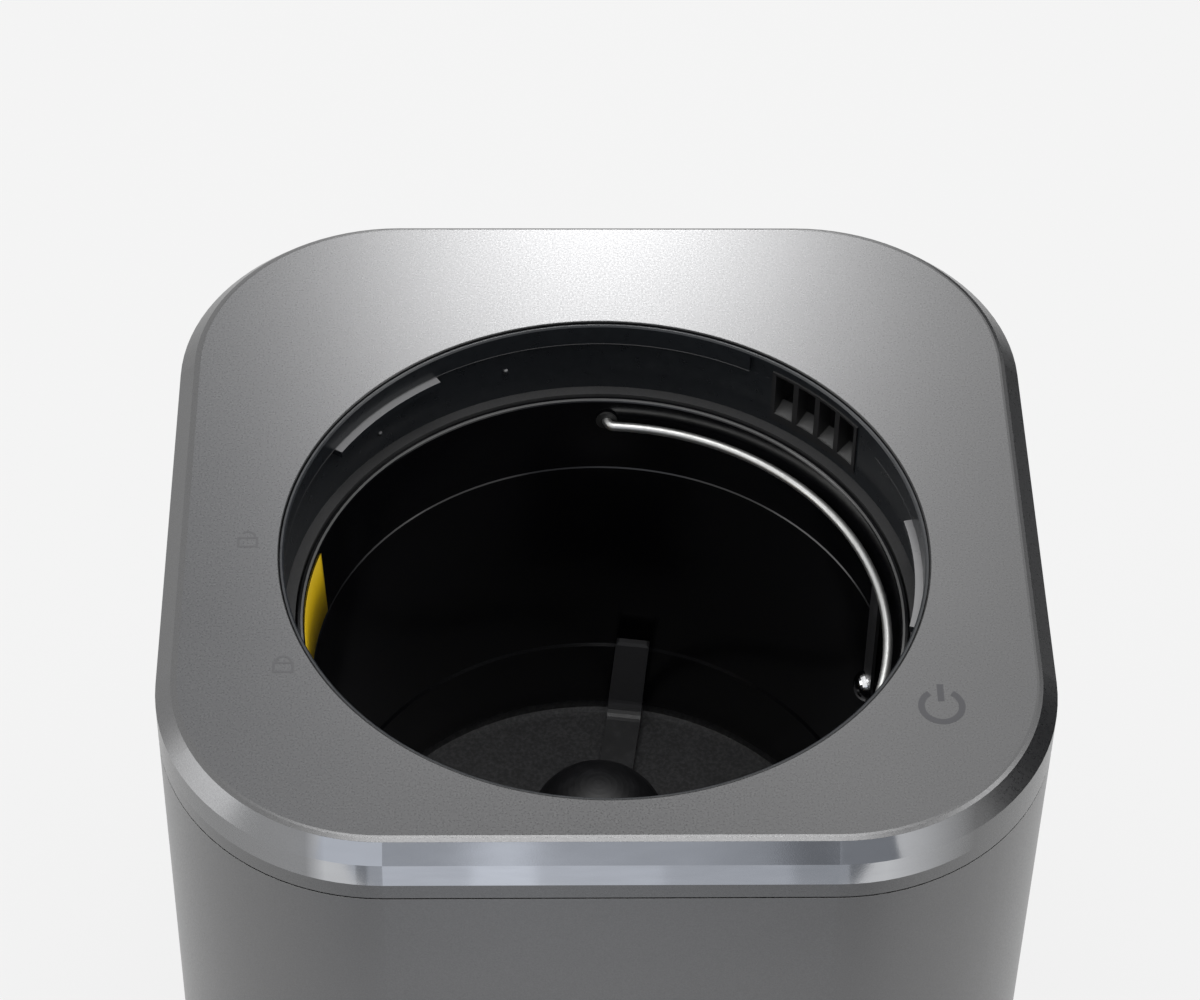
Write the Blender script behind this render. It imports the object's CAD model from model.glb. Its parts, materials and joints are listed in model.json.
"""Looks of an electric food waste composter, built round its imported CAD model.

Metres, +Z up, the front faces -Y. The tower's mouth is open and its bucket shows."""

import bmesh
import bpy
import json
import math
from mathutils import Matrix, Vector


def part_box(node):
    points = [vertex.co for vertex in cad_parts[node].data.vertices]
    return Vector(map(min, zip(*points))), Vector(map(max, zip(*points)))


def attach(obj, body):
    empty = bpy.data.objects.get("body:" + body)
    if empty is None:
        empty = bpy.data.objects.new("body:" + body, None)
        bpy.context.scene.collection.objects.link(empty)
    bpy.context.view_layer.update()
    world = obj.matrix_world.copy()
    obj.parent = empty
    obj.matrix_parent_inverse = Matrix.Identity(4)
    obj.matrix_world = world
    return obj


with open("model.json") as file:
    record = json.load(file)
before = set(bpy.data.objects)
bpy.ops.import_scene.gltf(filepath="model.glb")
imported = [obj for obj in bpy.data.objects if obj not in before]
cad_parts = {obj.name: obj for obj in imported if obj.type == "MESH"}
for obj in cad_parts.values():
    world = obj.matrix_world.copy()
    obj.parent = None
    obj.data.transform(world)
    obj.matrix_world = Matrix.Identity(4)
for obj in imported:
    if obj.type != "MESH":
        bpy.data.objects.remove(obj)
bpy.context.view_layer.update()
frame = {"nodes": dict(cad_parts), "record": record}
NODES = frame["nodes"]
MM = 0.001

# Heights and the mouth's axis, read from the frame
PLATE_LOW, PLATE_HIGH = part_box("top_plate")
BUCKET_LOW, BUCKET_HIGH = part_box("bucket")
TOP = PLATE_HIGH.z
AXIS_Y = (BUCKET_LOW.y + BUCKET_HIGH.y) / 2

# The shell's bare edge starts just below the plate, and the mixing arm runs just above the floor
SEAM_EDGE_Z = PLATE_LOW.z - 0.62 * MM
FLOOR_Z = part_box("mixing_arm")[0].z - 1.5 * MM

# The lid seat in the collar, whose lower edge catches the light along a thin fading line
SEAT_EDGE_Z = TOP - 9.2 * MM
SEAT_RADIUS = 104 * MM
SEAT_MARGIN = 0.4 * MM
SEAT_LINE = (0.1 * MM, 0.28 * MM)

# The worn inner edge of the bucket's rim, and where the floor's finish fades into the wall's
RIM_RADIUS = 99.7 * MM
RIM_DEPTH = 0.3 * MM
FLOOR_FADE = (1.0 * MM, 6 * MM)

# The bevel and wall of the plate's mouth
CUT_RADIUS = 105.95 * MM

# The polished front of the plate's edge lies between two depths and in front of one Y. It fades
# out along X at both ends, at the left in two steps.
POLISH_SKIN = 0.75 * MM
POLISH_DEPTH = 15.6 * MM
POLISH_BACK = -100 * MM
POLISH_FADE = -137 * MM
POLISH_LEFT = (-93 * MM, -87 * MM)
POLISH_RIGHT = (84 * MM, 112 * MM)
FADE_SHARE = 0.3
POLISH_ROUGHNESS = 0.07


# Camera

PHOTO_W = 1200
SENSOR = 36.0
FOCAL_PIXELS = 3922.1
CLIP_NEAR, CLIP_FAR = 0.05, 30
CAMERA_AT = Vector((-0.03017, -0.88240, 1.29129))
CAMERA_AZIMUTH = math.radians(1.872)
CAMERA_DOWN = math.radians(46.370)
CAMERA_ROLL = math.radians(1.295)


def make_camera():
    """The photograph's camera: its place, its aim from azimuth and tilt, and a slight roll."""
    az, down, roll = CAMERA_AZIMUTH, CAMERA_DOWN, CAMERA_ROLL
    ahead = Vector((math.sin(az) * math.cos(down), math.cos(az) * math.cos(down), -math.sin(down)))
    right = Vector((math.cos(az), -math.sin(az), 0))
    up = right.cross(ahead)
    x = right * math.cos(roll) + up * math.sin(roll)
    y = up * math.cos(roll) - right * math.sin(roll)
    data = bpy.data.cameras.new("camera")
    data.sensor_fit = "HORIZONTAL"
    data.sensor_width = SENSOR
    data.lens = FOCAL_PIXELS / PHOTO_W * SENSOR
    data.clip_start = CLIP_NEAR
    data.clip_end = CLIP_FAR
    camera = bpy.data.objects.new("camera", data)
    turn = Matrix((x, y, -ahead)).transposed().to_4x4()
    camera.matrix_world = Matrix.Translation(CAMERA_AT) @ turn
    bpy.context.scene.collection.objects.link(camera)
    bpy.context.scene.camera = camera


# Node trees


def shade(colour, factor, lift=0.0):
    """The colour made darker or lighter."""
    return [c * factor + lift for c in colour]


class Surface:
    """A material's node tree, with short calls for the nodes that the finishes share.

    Noise and cell scales count per metre."""

    def __init__(self, name, **sockets):
        self.material = bpy.data.materials.new(name)
        self.material.use_nodes = True
        self.tree = self.material.node_tree
        self.shader = self.tree.nodes["Principled BSDF"]
        self.place = self.add("ShaderNodeTexCoord").outputs["Object"]
        for socket, value in sockets.items():
            self.shader.inputs[socket.replace("_", " ")].default_value = value

    def add(self, kind, inputs=None, **settings):
        """A node with its settings, and its inputs set to values or linked to sockets."""
        node = self.tree.nodes.new(kind)
        for setting, value in settings.items():
            setattr(node, setting, value)
        for key, value in (inputs or {}).items():
            if isinstance(value, bpy.types.NodeSocket):
                self.tree.links.new(value, node.inputs[key])
            else:
                node.inputs[key].default_value = value
        return node

    def feed(self, socket, value):
        self.tree.links.new(value, self.shader.inputs[socket])

    def stretch(self, scale):
        """The place, scaled along X, Y and Z."""
        inputs = {"Vector": self.place, "Scale": scale}
        return self.add("ShaderNodeMapping", inputs).outputs["Vector"]

    def noise(self, scale, detail=2.0, roughness=0.5, place=None):
        inputs = {
            "Vector": place or self.place,
            "Scale": scale,
            "Detail": detail,
            "Roughness": roughness,
        }
        return self.add("ShaderNodeTexNoise", inputs).outputs["Fac"]

    def cells(self, scale, feature="F1"):
        inputs = {"Vector": self.place, "Scale": scale}
        return self.add("ShaderNodeTexVoronoi", inputs, feature=feature).outputs["Distance"]

    def span(self, value, low, high, new_low=0.0, new_high=1.0, smooth=False):
        """The value moved from one range to another, and kept inside it."""
        inputs = {
            "Value": value,
            "From Min": low,
            "From Max": high,
            "To Min": new_low,
            "To Max": new_high,
        }
        kind = "SMOOTHSTEP" if smooth else "LINEAR"
        return self.add("ShaderNodeMapRange", inputs, interpolation_type=kind).outputs["Result"]

    def sum(self, operation, a, b=0.0):
        return self.add("ShaderNodeMath", {0: a, 1: b}, operation=operation).outputs[0]

    def blend(self, factor, a, b):
        """Two colours mixed."""
        node = self.add("ShaderNodeMix", data_type="RGBA")
        for index, value in ((0, factor), (6, a), (7, b)):
            if isinstance(value, bpy.types.NodeSocket):
                self.tree.links.new(value, node.inputs[index])
            else:
                node.inputs[index].default_value = value if index == 0 else (*value, 1)
        return node.outputs[2]

    def vary(self, factor, colour, low, high=1.0):
        """One colour that goes from a first shade to a second."""
        return self.blend(factor, shade(colour, low), shade(colour, high))

    def axes(self, place=None):
        return self.add("ShaderNodeSeparateXYZ", {0: place or self.place}).outputs

    def radius(self):
        """The distance from the mouth's axis."""
        parts = self.axes()
        across = self.sum("SUBTRACT", parts["Y"], AXIS_Y)
        squares = [self.sum("MULTIPLY", side, side) for side in (parts["X"], across)]
        return self.sum("SQRT", self.sum("ADD", *squares))

    def facing(self):
        """The surface's own direction, as X, Y and Z."""
        return self.axes(self.add("ShaderNodeNewGeometry").outputs["True Normal"])

    def bump(self, height, strength, distance):
        inputs = {"Height": height, "Strength": strength, "Distance": distance}
        if self.shader.inputs["Normal"].is_linked:
            inputs["Normal"] = self.shader.inputs["Normal"].links[0].from_socket
        self.feed("Normal", self.add("ShaderNodeBump", inputs).outputs["Normal"])


# Finishes


def metal_grain(surface, base, roughness):
    """Bead-blasted and anodised metal: a fine sparkle, faint clouds and no direction."""
    fine = surface.noise(2600, detail=1.0, roughness=0.6)
    cloud = surface.noise(24, detail=3.0)
    patch = surface.noise(1500, detail=2.0)
    tone = surface.vary(surface.span(fine, 0.3, 0.7), base, 0.91, 1.09)
    clouded = surface.span(cloud, 0.35, 0.65, 0.0, 0.12)
    tone = surface.blend(clouded, tone, shade(base, 0.82))
    rough = surface.span(patch, 0.3, 0.7, roughness - 0.04, roughness + 0.04)
    surface.bump(fine, strength=0.1, distance=0.02 * MM)
    return tone, rough


def shell_metal(name, base, roughness):
    """Satin metal. Its top edge, inside the seam, is bare and bright."""
    bare = (0.7, 0.7, 0.7)
    surface = Surface(name, Metallic=1.0)
    tone, rough = metal_grain(surface, base, roughness)
    edge = surface.sum("GREATER_THAN", surface.axes()["Z"], SEAM_EDGE_Z)
    surface.feed("Base Color", surface.blend(edge, tone, bare))
    surface.feed("Roughness", rough)
    return surface.material


def plate_metal(name, base, roughness, polished):
    """Satin metal, polished on the front's chamfer and upper skirt. The mouth's cut is dark."""
    surface = Surface(name, Metallic=1.0)
    tone, rough = metal_grain(surface, base, roughness)
    cut = surface.sum("LESS_THAN", surface.radius(), CUT_RADIUS)
    tone = surface.blend(cut, tone, shade(base, 0.25))
    place = surface.axes()
    faded = surface.span(place["X"], POLISH_FADE, POLISH_LEFT[0], 0.0, FADE_SHARE)
    risen = surface.span(place["X"], *POLISH_LEFT, 0.0, 1.0 - FADE_SHARE)
    mask = surface.sum("LESS_THAN", place["Y"], POLISH_BACK)
    for limit in (
        surface.sum("LESS_THAN", place["Z"], TOP - POLISH_SKIN),
        surface.sum("GREATER_THAN", place["Z"], TOP - POLISH_DEPTH),
        surface.sum("ADD", faded, risen),
        surface.span(place["X"], *POLISH_RIGHT, 1.0, 0.0),
    ):
        mask = surface.sum("MULTIPLY", mask, limit)
    wave = surface.noise(60, detail=2.0, place=surface.stretch((1, 1, 4)))
    bright = surface.vary(surface.span(wave, 0.3, 0.7), polished, 0.94)
    surface.feed("Base Color", surface.blend(mask, tone, bright))
    inputs = {"Factor": mask, "A": rough, "B": POLISH_ROUGHNESS}
    mixed = surface.add("ShaderNodeMix", inputs, data_type="FLOAT").outputs[0]
    surface.feed("Roughness", mixed)
    return surface.material


def plain_metal(name, base, roughness, grain=400):
    """Rolled or turned metal with fine lines along X and small stains."""
    surface = Surface(name, Metallic=1.0)
    lines = surface.noise(grain, detail=3.0, place=surface.stretch((0.15, 1, 1)))
    stain = surface.noise(35, detail=4.0)
    tone = surface.vary(surface.span(lines, 0.3, 0.7), base, 0.88)
    stained = surface.span(stain, 0.55, 0.8, 0.0, 0.35)
    surface.feed("Base Color", surface.blend(stained, tone, shade(base, 0.7)))
    surface.feed("Roughness", surface.span(lines, 0.2, 0.8, roughness * 0.8, roughness * 1.25))
    surface.bump(lines, strength=0.08, distance=0.03 * MM)
    return surface.material


def polished_steel(name):
    """Drawn wire, polished, with faint lines and a few marks from use."""
    clean, marked = (0.62, 0.62, 0.61), (0.5, 0.5, 0.49)
    surface = Surface(name, Metallic=1.0)
    lines = surface.noise(900, detail=2.0, place=surface.stretch((1, 1, 0.2)))
    marks = surface.noise(120, detail=4.0, roughness=0.7)
    surface.feed("Base Color", surface.blend(surface.span(marks, 0.5, 0.75), clean, marked))
    surface.feed("Roughness", surface.span(marks, 0.4, 0.75, 0.4, 0.5))
    surface.bump(lines, strength=0.05, distance=0.02 * MM)
    return surface.material


def chrome(name):
    """Bright plating with a few dull spots."""
    bright, dull = (0.85, 0.85, 0.86), (0.6, 0.6, 0.6)
    surface = Surface(name, Metallic=1.0)
    spots = surface.noise(500, detail=3.0)
    surface.feed("Base Color", surface.blend(surface.span(spots, 0.55, 0.75), bright, dull))
    surface.feed("Roughness", surface.span(spots, 0.4, 0.7, 0.08, 0.16))
    return surface.material


def gloss_surface(name, base, roughness):
    """Moulded plastic with a slight ripple and a thin haze of dust, and its colour's socket."""
    surface = Surface(name)
    haze = surface.noise(260, detail=5.0, roughness=0.65)
    hazed = surface.span(haze, 0.45, 0.75, 0.0, 0.35)
    speck = surface.sum("LESS_THAN", surface.cells(900), 0.05)
    tone = surface.blend(hazed, base, shade(base, 1.5, 0.003))
    tone = surface.blend(speck, tone, shade(base, 1.0, 0.04))
    surface.feed("Base Color", tone)
    surface.feed("Roughness", surface.span(haze, 0.35, 0.7, roughness, roughness + 0.08))
    surface.bump(surface.noise(160, detail=2.0), strength=0.08, distance=0.05 * MM)
    return surface, tone


def gloss_plastic(name, base, roughness):
    surface, _ = gloss_surface(name, base, roughness)
    return surface.material


def collar_plastic(name, base, roughness):
    """Glossy plastic. The lid seat ends in a thin bright edge, and the lugs' tops are pale."""
    edge_tone, ledge_tone = (0.16, 0.16, 0.165), (0.24, 0.24, 0.245)
    surface, tone = gloss_surface(name, base, roughness)
    height = surface.axes()["Z"]
    on_seat = surface.sum("LESS_THAN", surface.radius(), SEAT_RADIUS + SEAT_MARGIN)
    off = surface.sum("ABSOLUTE", surface.sum("SUBTRACT", height, SEAT_EDGE_Z))
    line = surface.sum("MULTIPLY", on_seat, surface.span(off, *SEAT_LINE, 1.0, 0.0))
    lined = surface.blend(line, tone, edge_tone)
    below = surface.sum("LESS_THAN", height, SEAT_EDGE_Z)
    ledge = surface.sum("MULTIPLY", below, surface.span(surface.facing()["Z"], 0.5, 0.8))
    surface.feed("Base Color", surface.blend(ledge, lined, ledge_tone))
    return surface.material


def vent_plastic(name):
    """The vent insert: black, with paler sills and edges where its faces look up."""
    base, sill = (0.018, 0.018, 0.019), (0.085, 0.085, 0.085)
    surface, tone = gloss_surface(name, base, 0.4)
    upward = surface.span(surface.facing()["Z"], 0.3, 0.6)
    surface.feed("Base Color", surface.blend(upward, tone, sill))
    return surface.material


def moulded_plastic(name, base, roughness, texture=1100):
    """Moulded plastic with the fine eroded texture of its mould."""
    surface = Surface(name)
    pits = surface.noise(texture, detail=3.0, roughness=0.7)
    cloud = surface.noise(18, detail=3.0)
    tone = surface.vary(surface.span(pits, 0.35, 0.65), base, 0.8, 1.2)
    clouded = surface.span(cloud, 0.4, 0.7, 0.0, 0.3)
    surface.feed("Base Color", surface.blend(clouded, tone, shade(base, 0.85)))
    surface.feed("Roughness", surface.span(pits, 0.3, 0.7, roughness - 0.06, roughness + 0.08))
    surface.bump(pits, strength=0.35, distance=0.06 * MM)
    return surface.material


def rubber(name, base):
    """Matt rubber with a fine grain and dry smears."""
    surface = Surface(name)
    grain = surface.noise(1500, detail=2.0, roughness=0.7)
    smear = surface.noise(70, detail=4.0)
    tone = surface.vary(surface.span(grain, 0.35, 0.65), base, 0.85, 1.1)
    smeared = surface.span(smear, 0.5, 0.75, 0.0, 0.4)
    surface.feed("Base Color", surface.blend(smeared, tone, shade(base, 1.35)))
    surface.feed("Roughness", surface.span(smear, 0.35, 0.7, 0.62, 0.82))
    surface.bump(grain, strength=0.2, distance=0.03 * MM)
    return surface.material


def bucket_coat(name):
    """Black non-stick coat. The floor, which the arm rubs, is greyer, and the rim is worn."""
    wall_tone, scuffed_tone = (0.003, 0.003, 0.0038), (0.006, 0.006, 0.007)
    floor_tone, speckle_tone = (0.016, 0.016, 0.017), (0.05, 0.05, 0.052)
    rim_tone = (0.13, 0.13, 0.13)
    floor_low, floor_high = FLOOR_FADE
    surface = Surface(name)
    height = surface.axes()["Z"]
    floor = surface.span(height, FLOOR_Z + floor_low, FLOOR_Z + floor_high, 1.0, 0.0, smooth=True)
    speckle = surface.span(surface.noise(700, detail=4.0, roughness=0.75), 0.42, 0.68)
    scuff = surface.noise(45, detail=5.0, roughness=0.7)
    wall = surface.blend(surface.span(scuff, 0.5, 0.8, 0.0, 0.5), wall_tone, scuffed_tone)
    grey = surface.blend(speckle, floor_tone, speckle_tone)
    at_top = surface.sum("GREATER_THAN", height, BUCKET_HIGH.z - RIM_DEPTH)
    rim = surface.sum("MULTIPLY", at_top, surface.sum("LESS_THAN", surface.radius(), RIM_RADIUS))
    wall = surface.blend(rim, wall, rim_tone)
    surface.feed("Base Color", surface.blend(floor, wall, grey))
    rough = surface.span(floor, 0.0, 1.0, 0.16, 0.42)
    scuffed = surface.span(scuff, 0.4, 0.7, 0.0, 0.06)
    surface.feed("Roughness", surface.sum("ADD", rough, scuffed))
    surface.bump(surface.noise(260, detail=2.0), strength=0.12, distance=0.05 * MM)
    return surface.material


def worn_coat(name, base, roughness, upright=1.0):
    """Dark coat with small rubbed marks, for the mixer and the well.

    Upright faces may be paler by a factor."""
    surface = Surface(name)
    rub = surface.noise(140, detail=5.0, roughness=0.7)
    tone = surface.vary(surface.span(rub, 0.52, 0.75), base, 1.0, 2.2)
    if upright != 1.0:
        wall = surface.span(surface.facing()["Z"], 0.3, 0.7, 1.0, 0.0)
        tone = surface.blend(wall, tone, shade(base, upright))
    surface.feed("Base Color", tone)
    surface.feed("Roughness", surface.span(rub, 0.35, 0.7, roughness, roughness + 0.14))
    surface.bump(surface.noise(500, detail=2.0), strength=0.14, distance=0.04 * MM)
    return surface.material


def felt(name, base):
    """Pressed fibres that lie flat."""
    surface = Surface(name)
    flat = surface.stretch((1, 1, 2.4))
    strands = surface.noise(520, detail=5.0, roughness=0.75, place=flat)
    surface.feed("Base Color", surface.vary(strands, base, 0.6))
    surface.feed("Roughness", surface.span(strands, 0.2, 0.8, 0.85, 1.0))
    surface.bump(strands, strength=0.7, distance=0.4 * MM)
    return surface.material


def circuit_board(name):
    """Green resist over a web of copper tracks."""
    resist, copper = (0.012, 0.09, 0.035), (0.03, 0.17, 0.07)
    surface = Surface(name)
    track = surface.span(surface.cells(420, "DISTANCE_TO_EDGE"), 0.03, 0.09, 1.0, 0.0)
    surface.feed("Base Color", surface.blend(track, resist, copper))
    surface.feed("Roughness", surface.span(track, 0.0, 1.0, 0.38, 0.3))
    surface.bump(track, strength=0.3, distance=0.03 * MM)
    return surface.material


def cartridge_face(name):
    """Moulded frame with rows of small round holes over the carbon."""
    holes_per_metre, hole_radius = 180, 0.28
    carbon, frame_low, frame_high = (0.012,) * 3, (0.1,) * 3, (0.14,) * 3
    surface = Surface(name)
    across = surface.stretch((holes_per_metre,) * 3)
    vector = "ShaderNodeVectorMath"
    cell = surface.add(vector, {0: across}, operation="FRACTION").outputs[0]
    middle = {0: cell, 1: (0.5, 0.5, 0.5)}
    parts = surface.axes(surface.add(vector, middle, operation="SUBTRACT").outputs[0])
    inputs = {0: parts["X"], 1: parts["Y"], 2: 0.0}
    flat = surface.add("ShaderNodeCombineXYZ", inputs).outputs[0]
    spread = surface.add(vector, {0: flat}, operation="LENGTH").outputs["Value"]
    upward = surface.sum("GREATER_THAN", surface.facing()["Z"], 0.9)
    hole = surface.sum("MULTIPLY", surface.sum("LESS_THAN", spread, hole_radius), upward)
    frame_tone = surface.blend(surface.noise(600, detail=3.0), frame_low, frame_high)
    surface.feed("Base Color", surface.blend(hole, frame_tone, carbon))
    surface.feed("Roughness", surface.span(hole, 0.0, 1.0, 0.55, 0.9))
    return surface.material


def printed(name, base, roughness):
    """Thin print or film: nearly even, with a fine grain."""
    surface = Surface(name)
    grain = surface.noise(1800, detail=2.0)
    surface.feed("Base Color", surface.vary(surface.span(grain, 0.3, 0.7), base, 0.88))
    surface.feed("Roughness", surface.span(grain, 0.3, 0.7, roughness - 0.05, roughness + 0.05))
    return surface.material


# Each slot's finish: its colour and its roughness
FINISHES = {
    "satin_aluminium": lambda n: plate_metal(n, (0.162, 0.162, 0.164), 0.3, (0.53, 0.54, 0.56)),
    "shell_aluminium": lambda n: shell_metal(n, (0.172, 0.172, 0.174), 0.34),
    "black_gloss": lambda n: collar_plastic(n, (0.015, 0.017, 0.02), 0.27),
    "gasket_rubber": lambda n: rubber(n, (0.035, 0.035, 0.036)),
    "dark_coat": lambda n: worn_coat(n, (0.02, 0.02, 0.021), 0.4),
    "bucket_coat": bucket_coat,
    "insulation": lambda n: felt(n, (0.6, 0.57, 0.5)),
    "cast_aluminium": lambda n: plain_metal(n, (0.5, 0.5, 0.51), 0.5, grain=250),
    "plated_steel": lambda n: plain_metal(n, (0.55, 0.55, 0.54), 0.3),
    "handle_steel": polished_steel,
    "brass_plate": lambda n: plain_metal(n, (0.7, 0.52, 0.2), 0.25),
    "black_plastic": lambda n: moulded_plastic(n, (0.022, 0.022, 0.024), 0.5),
    "dark_plastic": lambda n: moulded_plastic(n, (0.04, 0.04, 0.042), 0.48, texture=700),
    "foot_rubber": lambda n: rubber(n, (0.025, 0.025, 0.025)),
    "filter_grey": cartridge_face,
    "motor_paint": lambda n: gloss_plastic(n, (0.03, 0.03, 0.034), 0.3),
    "gear_plastic": lambda n: moulded_plastic(n, (0.6, 0.57, 0.48), 0.4, texture=500),
    "circuit_board": circuit_board,
    "bush_plastic": lambda n: moulded_plastic(n, (0.02, 0.02, 0.02), 0.45, texture=600),
}

# Nodes that differ from the rest of their slot
OWN_FINISHES = {
    "mixer_hub": lambda n: worn_coat(n, (0.006, 0.006, 0.007), 0.42),
    "mixing_arm": lambda n: worn_coat(n, (0.013, 0.013, 0.014), 0.45, upright=5.5),
    "vent_grille": vent_plastic,
    "handle_rest": lambda n: worn_coat(n, (0.03, 0.03, 0.032), 0.35),
    "rest_rivet": chrome,
}


def finish_cad_nodes():
    """Every node takes its slot's finish, or its own."""
    made = {slot: make(slot) for slot, make in FINISHES.items()}
    slot_of = {row["node"]: row["material_slot"] for row in frame["record"]["subparts"]}
    for name, node in NODES.items():
        own = OWN_FINISHES.get(name)
        node.data.materials.clear()
        node.data.materials.append(own(name) if own else made[slot_of[name]])


# Pieces that the CAD model leaves to this script

MARK_THICKNESS = 0.03 * MM

# The touch key's sign: its middle, its ring and the bar's two ends above the middle
POWER_AT = (104.4 * MM, -84.3 * MM)
POWER_RADIUS = 6.4 * MM
POWER_STROKE = 2.1 * MM
POWER_RING = (124, 416)
POWER_BAR = (2 * MM, 9 * MM)

# The lid marks: half a body's width, its height, the stroke and the shackle
LOCK_HALF = 3.4 * MM
LOCK_TALL = 4.6 * MM
LOCK_STROKE = 0.8 * MM
SHACKLE_RADIUS = 2.3 * MM
SHACKLE_STEPS = 20
OPEN_MARK = {"centre": (-115.7 * MM, -11.5 * MM), "shackle_end": 140}
SHUT_MARK = {"centre": (-102.2 * MM, -65.4 * MM), "shackle_end": 180}

# The yellow film, which follows the tapering wall: its angles, and a height and radius per edge
PATCH_FILM = 0.12 * MM
PATCH_START, PATCH_END, PATCH_STEPS = 163, 195, 24
PATCH_EDGES = ((TOP - 62 * MM, 97.05 * MM), (TOP - 34 * MM, 98.45 * MM))


def mesh_piece(name, bm, body, material, smooth=False):
    """A finished mesh that rides on a body and has a material."""
    mesh = bpy.data.meshes.new(name)
    bmesh.ops.recalc_face_normals(bm, faces=bm.faces)
    bm.to_mesh(mesh)
    bm.free()
    mesh.materials.append(material)
    for face in mesh.polygons:
        face.use_smooth = smooth
    piece = bpy.data.objects.new(name, mesh)
    bpy.context.scene.collection.objects.link(piece)
    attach(piece, body)


def add_mark(bm, outline):
    """A closed outline in the XY plane, as a thin solid on the plate's top."""
    bottom = [bm.verts.new((x, y, TOP)) for x, y in outline]
    top = [bm.verts.new((x, y, TOP + MARK_THICKNESS)) for x, y in outline]
    bm.faces.new(bottom[::-1])
    bm.faces.new(top)
    for k in range(len(outline)):
        n = (k + 1) % len(outline)
        bm.faces.new((bottom[k], bottom[n], top[n], top[k]))


def arc_points(centre, radius, start, end, steps):
    """Points along an arc, whose ends are given in degrees."""
    angles = [math.radians(start + (end - start) * k / steps) for k in range(steps + 1)]
    return [(centre[0] + radius * math.cos(a), centre[1] + radius * math.sin(a)) for a in angles]


def thick_arc(centre, radius, width, start, end, steps=40):
    """The outline of a stroke along an arc."""
    outer = arc_points(centre, radius + width / 2, start, end, steps)
    inner = arc_points(centre, radius - width / 2, end, start, steps)
    return outer + inner


def bar(x0, x1, y0, y1):
    """The outline of a rectangle."""
    return [(x0, y0), (x1, y0), (x1, y1), (x0, y1)]


def stroke(x, y0, y1, width):
    """The outline of an upright stroke."""
    half = width / 2
    return bar(x - half, x + half, y0, y1)


def power_mark(material):
    """A ring with a gap at the top, and a bar in the gap."""
    x, y = POWER_AT
    low, high = POWER_BAR
    bm = bmesh.new()
    add_mark(bm, thick_arc(POWER_AT, POWER_RADIUS, POWER_STROKE, *POWER_RING))
    add_mark(bm, stroke(x, y + low, y + high, POWER_STROKE))
    mesh_piece("power_mark", bm, "root", material)


def lid_mark(name, material, centre, shackle_end):
    """A small plain padlock outline beside the mouth, open or closed."""
    half, tall, width = LOCK_HALF, LOCK_TALL, LOCK_STROKE
    x, y = centre
    bm = bmesh.new()
    for outline in (
        bar(x - half, x + half, y - tall, y - tall + width),
        bar(x - half, x + half, y - width, y),
        stroke(x - half + width / 2, y - tall + width, y - width, width),
        stroke(x + half - width / 2, y - tall + width, y - width, width),
        thick_arc(centre, SHACKLE_RADIUS, width, 0, shackle_end, SHACKLE_STEPS),
    ):
        add_mark(bm, outline)
    mesh_piece(name, bm, "root", material)


def wall_patch(material):
    """A bare yellow film on the bucket's left wall."""
    bm = bmesh.new()
    rows = []
    for z, radius in PATCH_EDGES:
        arcs = [
            arc_points((0, AXIS_Y), face_radius, PATCH_START, PATCH_END, PATCH_STEPS)
            for face_radius in (radius, radius - PATCH_FILM)
        ]
        rows.append([[bm.verts.new((px, py, z)) for px, py in arc] for arc in arcs])
    (low_out, low_in), (high_out, high_in) = rows
    for k in range(PATCH_STEPS):
        n = k + 1
        bm.faces.new((low_out[k], low_out[n], high_out[n], high_out[k]))
        bm.faces.new((low_in[k], high_in[k], high_in[n], low_in[n]))
        bm.faces.new((low_out[k], low_in[k], low_in[n], low_out[n]))
        bm.faces.new((high_out[k], high_out[n], high_in[n], high_in[k]))
    for k in (0, PATCH_STEPS):
        bm.faces.new((low_out[k], high_out[k], high_in[k], low_in[k]))
    mesh_piece("wall_patch", bm, "bucket", material, smooth=True)


def add_marks():
    """The marks on the plate and the film in the bucket, in their inks."""
    ink = printed("ink", (0.05, 0.05, 0.056), 0.45)
    faint = printed("faint_ink", (0.078, 0.078, 0.082), 0.45)
    power_mark(ink)
    lid_mark("open_mark", faint, **OPEN_MARK)
    lid_mark("shut_mark", faint, **SHUT_MARK)
    wall_patch(printed("yellow_film", (0.72, 0.48, 0.01), 0.4))


# Stage and light

PALE = (0.913, 0.913, 0.913, 1)
FLOOR_SIZE = 6
FLOOR_TONE = (0.8, 0.8, 0.8, 1)

# How much of the floor's seen brightness is its own, which leaves a faint shadow
FLOOR_GLOW = 0.88

# The surround's strength as a light
WORLD_LIGHT = 0.62

# Lamps: where each one is, where it points, its size and its watts
SOFTBOXES = {
    "rear_softbox": ((0.025, 1.02, 0.93), (0.0, 0.10, 0.36), (0.2, 0.56), 4),
    "top_softbox": ((0.0, -0.05, 1.55), (0.0, 0.0, 0.3), (0.6, 0.5), 5),
    "left_softbox": ((-1.3, -0.1, 0.7), (0.0, 0.0, 0.2), (0.8, 1.0), 4),
    "right_softbox": ((1.1, -0.1, 1.4), (0.0, 0.0, 0.2), (0.6, 0.6), 3),
}

# Cards shape only reflections, with a cool tint
CARD_TINT = (0.94, 0.98, 1.06)

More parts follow.
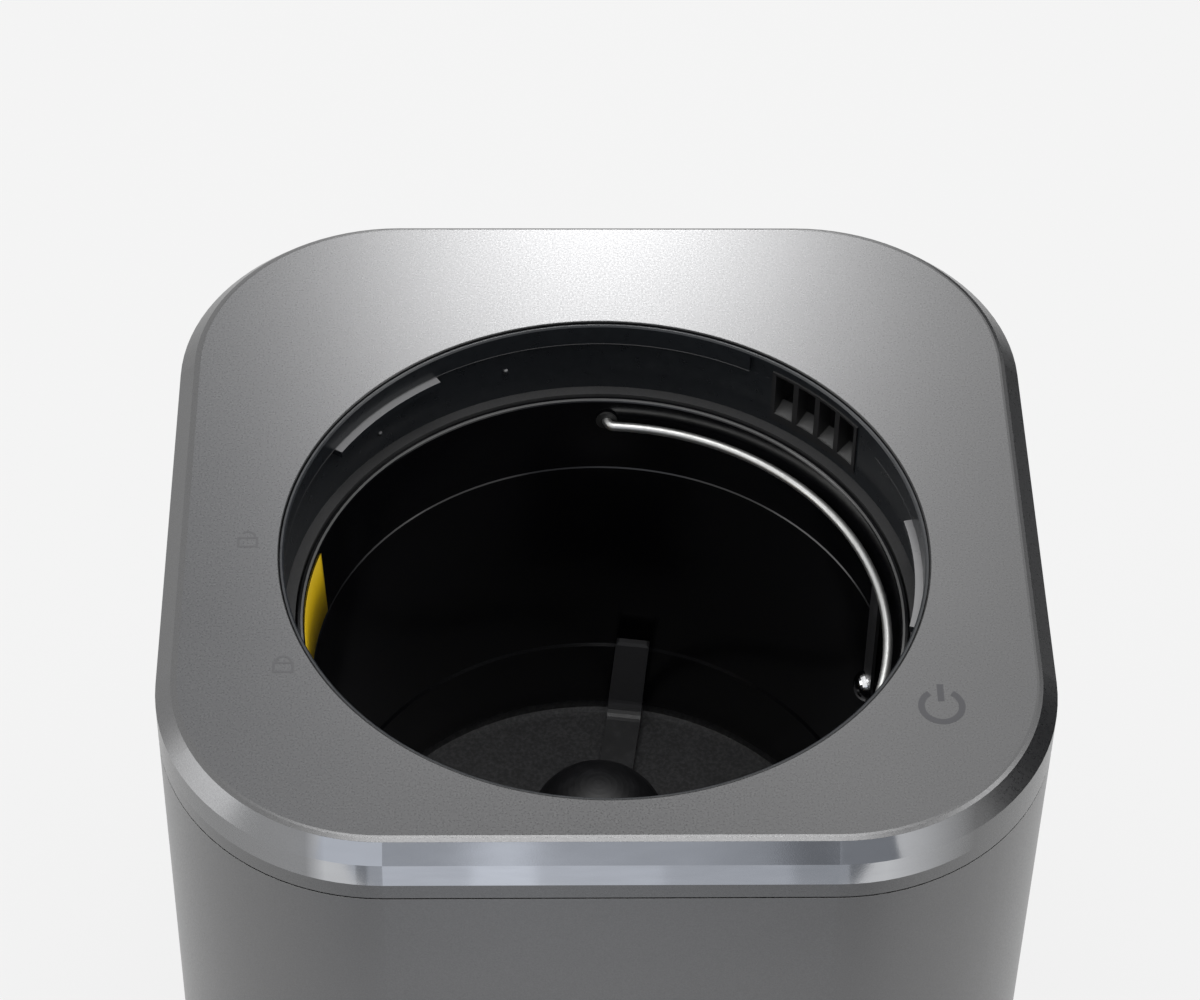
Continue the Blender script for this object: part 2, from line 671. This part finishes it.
# The room behind the camera and the table before the object, which the polished edge mirrors.
# Each is a row of tones along X, where a tone starts at its X and the last X ends the row, and
# the Y and Z of the row's two long edges.
CARD_ROWS = {
    "front_card": (
        [(-0.9, 0.8), (-0.147, 0.5), (-0.058, 0.95), (-0.014, 0.55), (0.12, 0.45), (0.165, 0.2),
         (0.208, 0.36), (0.25, 0.48), (0.3, 0.3), (0.9, None)],
        (-1.45, 0.6),
        (-1.45, 2.2),
    ),
    "low_card": (
        [(-0.5, 0.6), (-0.155, 0.3), (-0.125, 0.5), (-0.1, 0.78), (-0.047, 1.0), (-0.02, 0.76),
         (0.033, 0.62), (0.087, 0.45), (0.14, 0.24), (0.25, 0.5), (0.5, None)],
        (-0.56, 0.004),
        (-0.4, 0.004),
    ),
}

# Dark walls at the right and dim panels above, which the satin plate mirrors: tone and corners
DIM_CARDS = {
    "rear_right_card": (
        0.06,
        [(0.5, 1.3, 0.01), (1.5, 0.3, 0.01), (1.5, 0.3, 1.0), (0.5, 1.3, 0.75)],
    ),
    "right_card": (
        0.06,
        [(1.5, 0.3, 0.01), (1.5, -0.5, 0.01), (1.5, -0.5, 1.0), (1.5, 0.3, 1.0)],
    ),
    "ceiling_card": (
        0.0,
        [(-0.05, 0.4, 1.4), (0.09, 0.4, 1.4), (0.09, 0.66, 1.1), (-0.05, 0.66, 1.1)],
    ),
    "left_card": (
        0.45,
        [(-0.34, 0.6, 1.3), (-0.12, 0.6, 1.3), (-0.12, 0.86, 1.05), (-0.34, 0.86, 1.05)],
    ),
}


def background_rays(tree):
    """1 for the rays that see the background: from the camera, from gloss and through glass."""
    rays = tree.nodes.new("ShaderNodeLightPath").outputs
    total = rays["Is Camera Ray"]
    for name in ("Is Glossy Ray", "Is Transmission Ray"):
        top = tree.nodes.new("ShaderNodeMath")
        top.operation = "MAXIMUM"
        tree.links.new(total, top.inputs[0])
        tree.links.new(rays[name], top.inputs[1])
        total = top.outputs[0]
    return total


def empty_material(name):
    """A material with nothing but an output, its tree and the output's socket."""
    material = bpy.data.materials.new(name)
    material.use_nodes = True
    tree = material.node_tree
    tree.nodes.clear()
    return material, tree, tree.nodes.new("ShaderNodeOutputMaterial").inputs["Surface"]


def emission(tree, colour):
    glow = tree.nodes.new("ShaderNodeEmission")
    glow.inputs["Color"].default_value = colour
    return glow.outputs[0]


def make_floor():
    """A pale floor that keeps a faint shadow."""
    bm = bmesh.new()
    bmesh.ops.create_grid(bm, x_segments=1, y_segments=1, size=FLOOR_SIZE)
    mesh = bpy.data.meshes.new("floor")
    bm.to_mesh(mesh)
    bm.free()
    floor = bpy.data.objects.new("floor", mesh)
    bpy.context.scene.collection.objects.link(floor)
    material, tree, surface = empty_material("floor")
    diffuse = tree.nodes.new("ShaderNodeBsdfDiffuse")
    diffuse.inputs["Color"].default_value = FLOOR_TONE
    share = tree.nodes.new("ShaderNodeMath")
    share.operation = "MULTIPLY"
    share.inputs[1].default_value = FLOOR_GLOW
    tree.links.new(background_rays(tree), share.inputs[0])
    mix = tree.nodes.new("ShaderNodeMixShader")
    tree.links.new(share.outputs[0], mix.inputs[0])
    tree.links.new(diffuse.outputs[0], mix.inputs[1])
    tree.links.new(emission(tree, PALE), mix.inputs[2])
    tree.links.new(mix.outputs[0], surface)
    mesh.materials.append(material)


def make_world():
    """An even pale surround, as bright as the floor where it is seen, and dimmer as a light."""
    world = bpy.data.worlds.new("studio")
    bpy.context.scene.world = world
    world.use_nodes = True
    tree = world.node_tree
    background = tree.nodes["Background"]
    background.inputs["Color"].default_value = PALE
    scale = tree.nodes.new("ShaderNodeMapRange")
    scale.inputs["To Min"].default_value = WORLD_LIGHT
    scale.inputs["To Max"].default_value = 1.0
    tree.links.new(background_rays(tree), scale.inputs["Value"])
    tree.links.new(scale.outputs["Result"], background.inputs["Strength"])


def reflected_card(name, corners, tone):
    """A card that only reflections show, with an even tone."""
    mesh = bpy.data.meshes.new(name)
    mesh.from_pydata(corners, [], [(0, 1, 2, 3)])
    card = bpy.data.objects.new(name, mesh)
    bpy.context.scene.collection.objects.link(card)
    for rays in ("camera", "diffuse", "transmission", "volume_scatter", "shadow"):
        setattr(card, "visible_" + rays, False)
    material, tree, surface = empty_material(name)
    tree.links.new(emission(tree, (*shade(CARD_TINT, tone), 1)), surface)
    mesh.materials.append(material)


def make_cards():
    for name, (tones, near, far) in CARD_ROWS.items():
        for k, ((x0, tone), (x1, _)) in enumerate(zip(tones, tones[1:])):
            corners = [(x0, *near), (x1, *near), (x1, *far), (x0, *far)]
            reflected_card(f"{name}_{k}", corners, tone)
    for name, (tone, corners) in DIM_CARDS.items():
        reflected_card(name, corners, tone)


def light_the_set():
    for name, (at, target, size, power) in SOFTBOXES.items():
        data = bpy.data.lights.new(name, "AREA")
        data.shape = "RECTANGLE"
        data.size, data.size_y = size
        data.energy = power
        lamp = bpy.data.objects.new(name, data)
        lamp.location = at
        aim = Vector(target) - Vector(at)
        lamp.rotation_euler = aim.to_track_quat("-Z", "Y").to_euler()
        bpy.context.scene.collection.objects.link(lamp)


# Build

bpy.context.scene.view_settings.view_transform = "Standard"
make_camera()
finish_cad_nodes()
add_marks()
make_floor()
make_world()
make_cards()
light_the_set()
